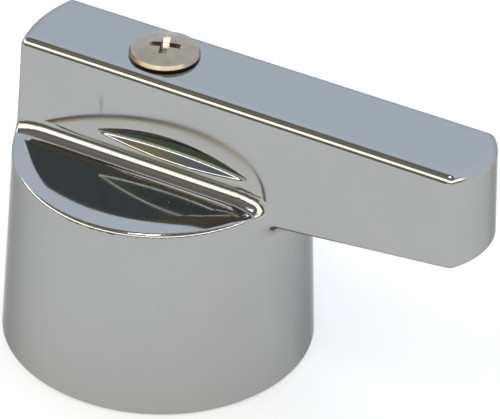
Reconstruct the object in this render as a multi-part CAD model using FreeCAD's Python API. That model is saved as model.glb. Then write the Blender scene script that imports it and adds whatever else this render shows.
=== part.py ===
import FreeCAD, Part
import math
import os

# Replacement tap handle: a cast body, which is a round skirt with a lever bar across its top, and its screw.
# Millimetres, +Z up along the stem, +X along the lever, origin at the centre of the skirt's mouth.

# Skirt, a slight cone that runs on up the end of the bar and is drawn in by the inset at its top
base_radius = 21.5
crest_inset = 2.35
mouth_chamfer = 0.4

# Shoulder on each side of the bar, sloping down from its foot and then rolling over to the rim
shoulder_z = 29.0
shoulder_slope_deg = 3.0
roll_width = 3.4
roll_drop = 0.45
foot_fillet = 2.35
rim_round = 0.7

# Lever bar, its heights counted from the shoulder and its overhang from the skirt
bar_width = 12.8
bar_height = 14.0
top_edge_round = 1.4
underside_drop = 2.4
underside_rise_deg = 6.5
under_edge_round = 0.6
overhang = 23.1
tip_sag = 2.5
tip_draft_deg = 3.2
tip_corner_round = 1.2

# Lens-shaped groove on each side of the bar
groove_x = 5.0
groove_lift = 3.5
groove_length = 23.4
groove_depth = 1.1
groove_rise = 2.5
groove_fall = 1.15
groove_nose_round = 0.45
groove_lip_round = 0.4

# Hollow of the skirt
mouth_wall = 2.5
mouth_depth = 6.0
cavity_step = 0.5
roof_thickness = 5.5

# Stem socket in the boss under the bar
boss_wall = 2.3
boss_recess = 8.0
spline_count = 16
spline_radius = 4.7
spline_height = 0.6
spline_length = 8.5
lead_in_clearance = 0.4
lead_in_depth = 3.5

# Screw
shank_radius = 2.4
shank_chamfer = 0.6
hole_clearance = 0.35
screw_reach = 3.4
head_radius = 4.7
head_side = 0.35
head_bevel_height = 0.5
head_bevel_inset = 0.25
dome_rise = 0.65
recess_span = 4.6
recess_floor_span = 1.7
recess_width = 1.05
recess_depth = 1.15
recess_turn_deg = 21.0

# Places that follow from the sizes above
bar_top_z = shoulder_z + bar_height
underside_root_z = shoulder_z - underside_drop
groove_z = shoulder_z + groove_lift
cavity_roof_z = shoulder_z - roof_thickness
lead_in_top_z = boss_recess + lead_in_depth
socket_roof_z = lead_in_top_z + spline_length
screw_end_z = socket_roof_z - screw_reach
crest_radius = base_radius - crest_inset
mouth_radius = base_radius - mouth_wall
lead_in_radius = spline_radius + lead_in_clearance
boss_radius = lead_in_radius + boss_wall
hole_radius = shank_radius + hole_clearance
dome_edge_radius = head_radius - head_bevel_inset
dome_edge_z = bar_top_z + head_side + head_bevel_height
screw_top_z = dome_edge_z + dome_rise
tip_corner_x = base_radius + overhang
half_width = bar_width / 2
axis_z = FreeCAD.Vector(0, 0, 1)

# How close an edge lies to a surface to count as being on it
near = 0.02


def v(x, y, z):
    return FreeCAD.Vector(x, y, z)


def slope(degrees):
    return math.tan(math.radians(degrees))


def line(a, b):
    return Part.LineSegment(a, b).toShape()


def arc(a, b, c):
    return Part.Arc(a, b, c).toShape()


def outline(points):
    return Part.Face(Part.makePolygon(points + [points[0]]))


def turn(face):
    return face.revolve(v(0, 0, 0), axis_z, 360)


def sagitta_radius(half_chord, rise):
    return (half_chord ** 2 + rise ** 2) / (2 * rise)


def middle_of(edge):
    return edge.valueAt((edge.FirstParameter + edge.LastParameter) / 2)


def rounded(shape, radius, test):
    return shape.makeFillet(radius, [edge for edge in shape.Edges if test(edge.BoundBox, middle_of(edge))])


def barrel_radius(z):
    return base_radius - crest_inset * z / bar_top_z


def on_barrel(point):
    return abs(math.hypot(point.x, point.y) - barrel_radius(point.z)) < near


def on_side(box):
    return box.YLength < near and abs(abs(box.YMin) - half_width) < near


def make_barrel():
    side = barrel_radius(mouth_chamfer)
    points = [v(0, 0, 0), v(side - mouth_chamfer, 0, 0), v(side, 0, mouth_chamfer)]
    points.append(v(crest_radius, 0, bar_top_z))
    points.append(v(0, 0, bar_top_z))
    return turn(outline(points))


def make_side_cut(side):
    # What is taken off the barrel on one side of the bar: a turned shape whose lower face is the shoulder
    # with its roll, drawn out past the rim and tilted about the foot of the bar
    roll_radius = sagitta_radius(roll_width, roll_drop)
    flat_radius = barrel_radius(shoulder_z) - roll_width
    reach = 2 * base_radius
    high = 2 * bar_top_z

    def on_roll(width):
        return v(flat_radius + width, 0, shoulder_z - roll_radius + math.sqrt(roll_radius ** 2 - width ** 2))

    end = on_roll(2 * roll_width)
    points = [end, v(end.x, 0, high), v(0, 0, high), v(0, 0, shoulder_z), on_roll(0)]
    edges = [line(a, b) for a, b in zip(points, points[1:])] + [arc(on_roll(0), on_roll(roll_width), end)]
    cutter = turn(Part.Face(Part.Wire(edges)))
    cutter.rotate(v(0, side * half_width, shoulder_z), v(1, 0, 0), -side * shoulder_slope_deg)
    start = half_width if side > 0 else -half_width - reach
    return cutter.common(Part.makeBox(2 * reach, reach, high, v(-reach, start, 0)))


def half_of(shape, side):
    # The half of a shape on the lever's side (1) or on the other side (-1) of the axis
    reach = 2 * base_radius
    start = 0 if side > 0 else -reach
    return shape.common(Part.makeBox(reach, 2 * reach, bar_top_z, v(start, -reach, 0))).Solids[0]


def make_closed_half(knob):
    # Away from the lever: the foot fillets, then one rounding along the rim and up the corners of the bar
    half = half_of(knob, -1)

    def is_foot(box, point):
        return on_side(box) and box.ZMax < shoulder_z + near

    def is_rim(box, point):
        return on_barrel(point) and cavity_roof_z < box.ZMin < bar_top_z - near

    return rounded(rounded(half, foot_fillet, is_foot), rim_round, is_rim)


def underside_z(x):
    return underside_root_z + (x - base_radius) * slope(underside_rise_deg)


def make_lever():
    # From the axis to the drafted, bulging tip: a blank with rounded corners that stands a little higher than
    # the bar, cut to the bar's top and to the rising underside
    reach = tip_corner_x + bar_width
    high = bar_top_z + tip_corner_round
    side = [v(0, -half_width, underside_z(0)), v(reach, -half_width, underside_z(reach))]
    side.append(v(reach, -half_width, bar_top_z))
    side.append(v(0, -half_width, bar_top_z))
    slab = outline(side).extrude(v(0, bar_width, 0))
    end_radius = sagitta_radius(half_width, tip_sag)
    centre_x = tip_corner_x + tip_sag - end_radius
    foot_radius = end_radius + bar_top_z * slope(tip_draft_deg)
    crown_radius = foot_radius - high * slope(tip_draft_deg)
    end = Part.makeCone(foot_radius, crown_radius, high, v(centre_x, 0, 0), axis_z)
    tongue = Part.makeBox(reach - centre_x, bar_width, high, v(centre_x, -half_width, 0)).common(end)
    shank = Part.makeBox(centre_x, bar_width, high, v(0, -half_width, 0))
    blank = shank.fuse(tongue).removeSplitter().Solids[0]

    def is_tip_corner(box, point):
        return box.XMin > centre_x and on_side(box) and box.ZLength > tip_sag

    def is_under_edge(box, point):
        return box.XMax > near and abs(point.z - underside_z(point.x)) < near

    lever = slab.common(rounded(blank, tip_corner_round, is_tip_corner)).Solids[0]
    return rounded(lever, under_edge_round, is_under_edge)


def make_lever_half(knob):
    # On the lever's side: the rim, then one fillet along the foot of the bar, down the skirt and under
    # the lever
    half = half_of(knob, 1).fuse(make_lever()).removeSplitter().Solids[0]

    def is_rim(box, point):
        outside = on_barrel(point) and abs(point.y) > half_width + near
        return outside and cavity_roof_z < box.ZMin < bar_top_z - near

    def is_foot(box, point):
        low = underside_z(0) < box.ZMin and box.ZMax < shoulder_z + near
        beside = on_side(box) and box.XMax < base_radius
        below = on_barrel(point) and abs(point.y) < half_width + near and box.XMin > near
        return low and (beside or below)

    return rounded(rounded(half, rim_round, is_rim), foot_fillet, is_foot)


def make_groove(side):
    # Wheel that cuts the groove: its edge is a blunt vee, steep below and long above
    wheel = sagitta_radius(groove_length / 2, groove_depth)
    inner = wheel - 2 * groove_depth
    vee = [v(wheel, 0, groove_z)]
    vee.append(v(inner, 0, groove_z + 2 * groove_rise))
    vee.append(v(inner, 0, groove_z - 2 * groove_fall))

    def is_nose(box, point):
        return box.ZLength < near and abs(point.z - groove_z) < near

    cutter = rounded(turn(outline(vee)), groove_nose_round, is_nose)
    cutter.rotate(v(0, 0, 0), axis_z, 90 * side)
    cutter.translate(v(groove_x, side * (half_width - groove_depth + wheel), 0))
    return cutter


def make_outside():
    knob = make_barrel().cut([make_side_cut(-1), make_side_cut(1)]).Solids[0]
    body = make_closed_half(knob).fuse(make_lever_half(knob)).removeSplitter().Solids[0]
    body = rounded(body, top_edge_round, lambda box, point: box.ZMin > bar_top_z - near)
    body = body.cut([make_groove(-1), make_groove(1)]).Solids[0]

    def is_lip(box, point):
        along = abs(point.x - groove_x) < groove_length / 2
        above = box.ZMin > groove_z - groove_fall - near
        below = box.ZMax < groove_z + groove_rise + near
        return on_side(box) and along and above and below

    return rounded(body, groove_lip_round, is_lip)


def make_hollow():
    # Space inside the skirt, left open round the boss
    wall = mouth_radius - cavity_step
    points = [v(0, 0, -mouth_depth), v(mouth_radius, 0, -mouth_depth), v(mouth_radius, 0, mouth_depth)]
    points.append(v(wall, 0, mouth_depth))
    points.append(v(wall, 0, cavity_roof_z))
    points.append(v(boss_radius, 0, cavity_roof_z))
    points.append(v(boss_radius, 0, boss_recess))
    points.append(v(0, 0, boss_recess))
    return turn(outline(points))


def make_socket():
    # Lead-in, splined stem socket and the screw's hole, one above the other on the axis
    points = []
    for index in range(2 * spline_count):
        radius = spline_radius if index % 2 else spline_radius - spline_height
        angle = math.pi * index / spline_count
        points.append(v(radius * math.cos(angle), radius * math.sin(angle), boss_recess))
    spline = outline(points).extrude(v(0, 0, socket_roof_z - boss_recess))
    lead_in = Part.makeCylinder(lead_in_radius, lead_in_top_z, v(0, 0, 0), axis_z)
    hole = Part.makeCylinder(hole_radius, bar_top_z, v(0, 0, boss_recess), axis_z)
    return spline.fuse([lead_in, hole])


def make_recess():
    # Cross recess: two tapered slots at right angles
    floor = screw_top_z - recess_depth
    half_top = recess_span / 2
    half_floor = recess_floor_span / 2
    half_slot = recess_width / 2
    points = [v(-half_top, -half_slot, screw_top_z), v(half_top, -half_slot, screw_top_z)]
    points.append(v(half_floor, -half_slot, floor))
    points.append(v(-half_floor, -half_slot, floor))
    first = outline(points).extrude(v(0, recess_width, 0))
    second = first.copy()
    second.rotate(v(0, 0, 0), axis_z, 90)
    recess = first.fuse(second)
    recess.rotate(v(0, 0, 0), axis_z, recess_turn_deg)
    return recess


def make_screw():
    # Shank, then the head on the bar: upright side, bevel and dome
    dome_radius = sagitta_radius(dome_edge_radius, dome_rise)
    half_way = dome_edge_radius / 2
    half_way_z = screw_top_z - dome_radius + math.sqrt(dome_radius ** 2 - half_way ** 2)
    crest = v(0, 0, screw_top_z)
    dome_edge = v(dome_edge_radius, 0, dome_edge_z)
    points = [crest, v(0, 0, screw_end_z), v(shank_radius - shank_chamfer, 0, screw_end_z)]
    points.append(v(shank_radius, 0, screw_end_z + shank_chamfer))
    points.append(v(shank_radius, 0, bar_top_z))
    points.append(v(head_radius, 0, bar_top_z))
    points.append(v(head_radius, 0, bar_top_z + head_side))
    points.append(dome_edge)
    edges = [line(a, b) for a, b in zip(points, points[1:])]
    edges.append(arc(dome_edge, v(half_way, 0, half_way_z), crest))
    return turn(Part.Face(Part.Wire(edges))).cut(make_recess()).Solids[0]


handle_body = make_outside().cut([make_hollow(), make_socket()]).Solids[0]
handle_screw = make_screw()
os.makedirs("parts", exist_ok=True)
for name, shape in (("handle_body", handle_body), ("handle_screw", handle_screw)):
    print(name, "valid", shape.isValid(), "solids", len(shape.Solids), "volume", round(shape.Volume, 1))
    shape.exportStep("parts/" + name + ".step")
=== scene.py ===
import math
import bpy
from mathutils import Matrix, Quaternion, Vector

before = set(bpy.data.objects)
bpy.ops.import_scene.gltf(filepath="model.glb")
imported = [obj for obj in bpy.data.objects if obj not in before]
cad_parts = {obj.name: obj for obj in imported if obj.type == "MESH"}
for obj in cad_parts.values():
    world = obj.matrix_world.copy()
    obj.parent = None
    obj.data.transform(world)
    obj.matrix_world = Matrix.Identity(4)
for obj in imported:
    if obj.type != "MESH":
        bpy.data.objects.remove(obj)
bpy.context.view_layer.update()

mm = 0.001


def toLinear(hexColour, gain=1.0):
    # sRGB hex to the linear RGBA that sockets take
    channels = [int(hexColour[i:i + 2], 16) / 255 for i in (1, 3, 5)]
    linear = [c / 12.92 if c <= 0.04045 else ((c + 0.055) / 1.055) ** 2.4 for c in channels]
    return [c * gain for c in linear] + [1.0]


def addNode(tree, kind, settings=None, **inputs):
    # settings are the node's own options; inputs are values or sockets to link, named with _ for a space,
    # or with i and their number
    node = tree.nodes.new(kind)
    for name, value in (settings or {}).items():
        setattr(node, name, value)
    for name, value in inputs.items():
        numbered = name[0] == "i" and name[1:].isdigit()
        socket = node.inputs[int(name[1:]) if numbered else name.replace("_", " ")]
        if isinstance(value, bpy.types.NodeSocket):
            tree.links.new(value, socket)
        else:
            socket.default_value = value
    return node


def newMaterial(name):
    material = bpy.data.materials.new(name)
    material.use_nodes = True
    material.node_tree.nodes.clear()
    return material, material.node_tree


# Chrome plate polished: a thin hard mirror over a cast body. The eye gets the room in it, a little softened
# by cloudy polish, a slow waviness left by the casting, a few dull specks, a finger smear and darker contours.
chromeValues = {
    "colour": "#a9a9a7", "clouded": "#a2a3a2", "contour": "#bcbcbc", "roughness": 0.07, "haze": 0.05,
    "cloudMm": 14.0, "cloudDetail": 4.0, "cloudRoughness": 0.6, "hazeFrom": 0.35, "hazeFull": 0.75,
    "waveMm": 9.0, "waveHeightMm": 0.004, "waveDetail": 1.0,
    "speckMm": 2.6, "speckSize": 0.06, "speckRoughness": 0.35,  # size as a share of the spacing
    "smeared": "#8d8f88", "smearPlaceMm": (-5.7, -6.4, 36.7), "smearSizeMm": (0.45, 1.0, 1.9),
}


def makeChrome():
    v = chromeValues
    material, tree = newMaterial("chromePlatePolished")
    place = addNode(tree, "ShaderNodeTexCoord").outputs["Object"]
    cloud = addNode(tree, "ShaderNodeTexNoise", Vector=place, Scale=1 / (v["cloudMm"] * mm),
                    Detail=v["cloudDetail"], Roughness=v["cloudRoughness"])
    colour = addNode(tree, "ShaderNodeMix", {"data_type": "RGBA"}, i0=cloud.outputs["Fac"],
                     i6=toLinear(v["colour"]), i7=toLinear(v["clouded"]))
    haze = addNode(tree, "ShaderNodeMapRange", Value=cloud.outputs["Fac"], From_Min=v["hazeFrom"],
                   From_Max=v["hazeFull"], To_Min=v["roughness"], To_Max=v["roughness"] + v["haze"])
    cells = addNode(tree, "ShaderNodeTexVoronoi", Vector=place, Scale=1 / (v["speckMm"] * mm))
    speck = addNode(tree, "ShaderNodeMapRange", Value=cells.outputs["Distance"], From_Min=v["speckSize"],
                    From_Max=0.0, To_Min=0.0, To_Max=v["speckRoughness"])
    onSmear = addNode(tree, "ShaderNodeMapping", {"vector_type": "TEXTURE"}, Vector=place,
                      Location=[c * mm for c in v["smearPlaceMm"]], Scale=[c * mm for c in v["smearSizeMm"]])
    smear = addNode(tree, "ShaderNodeTexGradient", {"gradient_type": "SPHERICAL"},
                    Vector=onSmear.outputs["Vector"])
    colour = addNode(tree, "ShaderNodeMix", {"data_type": "RGBA"}, i0=smear.outputs["Fac"],
                     i6=colour.outputs["Result"], i7=toLinear(v["smeared"]))
    rough = addNode(tree, "ShaderNodeMath", {"operation": "ADD"}, i0=haze.outputs["Result"],
                    i1=speck.outputs["Result"])
    wave = addNode(tree, "ShaderNodeTexNoise", Vector=place, Scale=1 / (v["waveMm"] * mm),
                   Detail=v["waveDetail"])
    bump = addNode(tree, "ShaderNodeBump", Strength=1.0, Distance=v["waveHeightMm"] * mm,
                   Height=wave.outputs["Fac"])
    shader = addNode(tree, "ShaderNodeBsdfPrincipled", Base_Color=colour.outputs["Result"], Metallic=1.0,
                     Specular_Tint=toLinear(v["contour"]), Roughness=rough.outputs["Value"],
                     Normal=bump.outputs["Normal"])
    addNode(tree, "ShaderNodeOutputMaterial", Surface=shader.outputs["BSDF"])
    return material


# Zinc plated steel, turned and tumbled: a warm light grey satin with faint rings on the head and a soft mottle,
# and a dark line of painted shade where the head sits on the bar, for the shadowed gap under its rim.
screwValues = {
    "colour": "#b4a896", "mottled": "#887e6f", "seatShade": "#1f1a14", "roughness": 0.3, "smoother": 0.08,
    "duller": 0.12, "mottleMm": 1.6, "mottleDetail": 6.0, "ringMm": 0.55, "ringHeightMm": 0.006,
    "ringWobble": 0.6, "ringDetail": 2.0, "seatMm": 43.0, "seatShadeMm": 0.42,
}


def makeScrewSteel():
    v = screwValues
    material, tree = newMaterial("zincPlatedSteelSatin")
    place = addNode(tree, "ShaderNodeTexCoord").outputs["Object"]
    mottle = addNode(tree, "ShaderNodeTexNoise", Vector=place, Scale=1 / (v["mottleMm"] * mm),
                     Detail=v["mottleDetail"])
    metal = addNode(tree, "ShaderNodeMix", {"data_type": "RGBA"}, i0=mottle.outputs["Fac"],
                    i6=toLinear(v["colour"]), i7=toLinear(v["mottled"]))
    split = addNode(tree, "ShaderNodeSeparateXYZ", Vector=place)
    # Painted shade: the steel turns near black towards the seat, standing in for the shadow under the head's
    # rim.
    seat, seatShade = v["seatMm"] * mm, v["seatShadeMm"] * mm
    clearOfSeatShade = addNode(tree, "ShaderNodeMapRange", {"interpolation_type": "SMOOTHSTEP"},
                    Value=split.outputs["Z"], From_Min=seat + seatShade / 2, From_Max=seat + seatShade)
    colour = addNode(tree, "ShaderNodeMix", {"data_type": "RGBA"}, i0=clearOfSeatShade.outputs["Result"],
                     i6=toLinear(v["seatShade"]), i7=metal.outputs["Result"])
    rough = addNode(tree, "ShaderNodeMapRange", Value=mottle.outputs["Fac"],
                    To_Min=v["roughness"] - v["smoother"], To_Max=v["roughness"] + v["duller"])
    ring = addNode(tree, "ShaderNodeTexWave", {"wave_type": "RINGS", "rings_direction": "Z"}, Vector=place,
                   Scale=math.pi / (10 * v["ringMm"] * mm),  # at scale 1 the rings repeat every pi / 10
                   Distortion=v["ringWobble"], Detail=v["ringDetail"])
    bump = addNode(tree, "ShaderNodeBump", Strength=1.0, Distance=v["ringHeightMm"] * mm,
                   Height=ring.outputs["Fac"])
    shader = addNode(tree, "ShaderNodeBsdfPrincipled", Base_Color=colour.outputs["Result"], Metallic=1.0,
                     Roughness=rough.outputs["Result"], Normal=bump.outputs["Normal"])
    addNode(tree, "ShaderNodeOutputMaterial", Surface=shader.outputs["BSDF"])
    return material


def dress(nodeName, material):
    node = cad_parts[nodeName]
    node.data.materials.clear()
    node.data.materials.append(material)


dress("handle_body", makeChrome())
dress("handle_screw", makeScrewSteel())
print("materials on", sorted(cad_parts))


# Floor: a plain pale sheet. It takes the object's shadow, and is topped up to white where it is seen or
# mirrored. Half its width in metres.
floorValues = {"halfWidth": 3.0, "colour": "#bebebe", "roughness": 0.9, "topUp": 0.46, "topUpColour": "#ffffff"}


def makeFloor():
    v = floorValues
    w = v["halfWidth"]
    mesh = bpy.data.meshes.new("floorSheet")
    mesh.from_pydata([(-w, -w, 0), (w, -w, 0), (w, w, 0), (-w, w, 0)], [], [(0, 1, 2, 3)])
    floor = bpy.data.objects.new("floorSheet", mesh)
    bpy.context.scene.collection.objects.link(floor)
    material, tree = newMaterial("paperFloorMatt")
    path = addNode(tree, "ShaderNodeLightPath")
    seen = addNode(tree, "ShaderNodeMath", {"operation": "ADD"}, i0=path.outputs["Is Camera Ray"],
                   i1=path.outputs["Is Glossy Ray"])
    seen = addNode(tree, "ShaderNodeMath", {"operation": "ADD", "use_clamp": True}, i0=seen.outputs["Value"],
                   i1=path.outputs["Is Transmission Ray"])
    glow = addNode(tree, "ShaderNodeMath", {"operation": "MULTIPLY"}, i0=seen.outputs["Value"], i1=v["topUp"])
    shader = addNode(tree, "ShaderNodeBsdfPrincipled", Base_Color=toLinear(v["colour"]),
                     Roughness=v["roughness"], Specular_IOR_Level=0.0,
                     Emission_Color=toLinear(v["topUpColour"]), Emission_Strength=glow.outputs["Value"])
    addNode(tree, "ShaderNodeOutputMaterial", Surface=shader.outputs["BSDF"])
    mesh.materials.append(material)


makeFloor()


# Flag: a small dull card on edge before the object, grey over olive green, there only for the chrome to mirror.
# It gives the groove its dark green and the bright edges their dark lower line. Metres.
flagValues = {
    "distance": 0.165, "left": -0.12, "right": 0.0, "height": 0.05, "upper": "#7d8484", "lower": "#a9bf86",
    "change": 0.018, "blur": 0.001, "roughness": 0.9,
}


def makeFlag():
    v = flagValues
    y, top = -v["distance"], v["height"]
    corners = [(v["right"], y, 0), (v["left"], y, 0), (v["left"], y, top), (v["right"], y, top)]
    mesh = bpy.data.meshes.new("flagCard")
    mesh.from_pydata(corners, [], [(0, 1, 2, 3)])
    flag = bpy.data.objects.new("flagCard", mesh)
    bpy.context.scene.collection.objects.link(flag)
    material, tree = newMaterial("flagCardMatt")
    place = addNode(tree, "ShaderNodeTexCoord").outputs["Object"]
    split = addNode(tree, "ShaderNodeSeparateXYZ", Vector=place)
    part = addNode(tree, "ShaderNodeMapRange", {"interpolation_type": "SMOOTHSTEP"}, Value=split.outputs["Z"],
                   From_Min=v["change"] - v["blur"], From_Max=v["change"] + v["blur"])
    colour = addNode(tree, "ShaderNodeMix", {"data_type": "RGBA"}, i0=part.outputs["Result"],
                     i6=toLinear(v["lower"]), i7=toLinear(v["upper"]))
    shader = addNode(tree, "ShaderNodeBsdfPrincipled", Base_Color=colour.outputs["Result"],
                     Roughness=v["roughness"], Specular_IOR_Level=0.0)
    addNode(tree, "ShaderNodeOutputMaterial", Surface=shader.outputs["BSDF"])
    mesh.materials.append(material)
    flag.visible_camera = False
    flag.visible_diffuse = False
    flag.visible_shadow = False


makeFlag()


# Room: a pale tent behind and a dim room in front with one lit strip across it, so the chrome has its dark
# patch, dark bands and cream lines. Each stop is degrees above the level of the floor, colour and gain.
roomValues = {
    "front": [(-90, "#5f5038", 1.0), (5, "#5f5038", 1.0), (10, "#d0b88e", 1.4), (15, "#fff0d8", 2.8),
              (20, "#ffffff", 3.3), (31, "#ffffff", 3.2), (33, "#a8977c", 1.0), (36, "#968e7e", 1.0),
              (38, "#838c94", 1.0), (44, "#838c94", 1.0), (46, "#b0a07c", 1.0), (52, "#a89a80", 1.0),
              (58, "#958c84", 1.0), (90, "#838086", 1.0)],
    "back": [(-90, "#e2edfc", 1.28), (60, "#e2edfc", 1.28), (90, "#dfe6f0", 1.2)],
    "turn": 0.1,  # how far to each side of the object the front and back run into each other
}


def makeRoom():
    v = roomValues
    world = bpy.data.worlds.new("studioRoom")
    bpy.context.scene.world = world
    world.use_nodes = True
    tree = world.node_tree
    tree.nodes.clear()
    place = addNode(tree, "ShaderNodeTexCoord").outputs["Generated"]
    split = addNode(tree, "ShaderNodeSeparateXYZ", Vector=place)
    angle = addNode(tree, "ShaderNodeMath", {"operation": "ARCSINE"}, i0=split.outputs["Z"])
    height = addNode(tree, "ShaderNodeMapRange", Value=angle.outputs["Value"], From_Min=-math.pi / 2,
                     From_Max=math.pi / 2)
    walls = {}
    for wall in ("front", "back"):
        ramp = addNode(tree, "ShaderNodeValToRGB", Fac=height.outputs["Result"])
        stops = ramp.color_ramp.elements
        while len(stops) < len(v[wall]):
            stops.new(1.0)
        for stop, (degrees, colour, gain) in zip(stops, v[wall]):
            stop.position = (degrees + 90) / 180
            stop.color = toLinear(colour, gain)
        walls[wall] = ramp.outputs["Color"]
    inFront = addNode(tree, "ShaderNodeMapRange", {"interpolation_type": "SMOOTHSTEP"},
                      Value=split.outputs["Y"], From_Min=v["turn"], From_Max=-v["turn"])
    colour = addNode(tree, "ShaderNodeMix", {"data_type": "RGBA"}, i0=inFront.outputs["Result"],
                     i6=walls["back"], i7=walls["front"])
    background = addNode(tree, "ShaderNodeBackground", Color=colour.outputs["Result"])
    addNode(tree, "ShaderNodeOutputWorld", Surface=background.outputs["Background"])


makeRoom()


# Lamps: two soft boxes that light the floor and a small one overhead that also glints on the rounded edges
# and in the screw's recess. Metres from the object.
lampValues = {
    "overheadBox": {"place": (-0.15, 0.25, 1.1), "size": 1.0, "watts": 2.0, "mirrored": False},
    "frontFill": {"place": (0.5, -0.9, 0.9), "size": 0.8, "watts": 1.0, "mirrored": False},
    "glintBox": {"place": (0.036, -0.333, 0.837), "size": 0.2, "watts": 1.3, "mirrored": True},
}


def makeLamps():
    for name, v in lampValues.items():
        data = bpy.data.lights.new(name, "AREA")
        data.size = v["size"]
        data.energy = v["watts"]
        lamp = bpy.data.objects.new(name, data)
        lamp.location = v["place"]
        lamp.rotation_mode = "QUATERNION"
        lamp.rotation_quaternion = Vector(v["place"]).to_track_quat("Z", "Y")
        lamp.visible_glossy = v["mirrored"]
        bpy.context.scene.collection.objects.link(lamp)


makeLamps()
print("floor, flag, room and lamps made")


# Camera: looks down over the lever from its front right, as in the photograph. Millimetres and degrees.
cameraValues = {
    "place": (175.49, -309.03, 260.72), "aim": (13.52, 0.0, 23.36), "roll": 2.428, "lens": 229.97,
    "sensor": 36.0, "clip": 10.0,
}


def makeCamera():
    v = cameraValues
    data = bpy.data.cameras.new("productCamera")
    data.sensor_fit = "HORIZONTAL"
    data.sensor_width = v["sensor"]
    data.lens = v["lens"]
    data.clip_start = v["clip"] * mm
    camera = bpy.data.objects.new("productCamera", data)
    back = Vector(v["place"]) - Vector(v["aim"])
    camera.rotation_mode = "QUATERNION"
    camera.rotation_quaternion = back.to_track_quat("Z", "Y") @ Quaternion((0, 0, 1), math.radians(v["roll"]))
    camera.location = Vector(v["place"]) * mm
    bpy.context.scene.collection.objects.link(camera)
    bpy.context.scene.camera = camera


makeCamera()
bpy.context.scene.view_settings.view_transform = "Standard"
print("camera made")
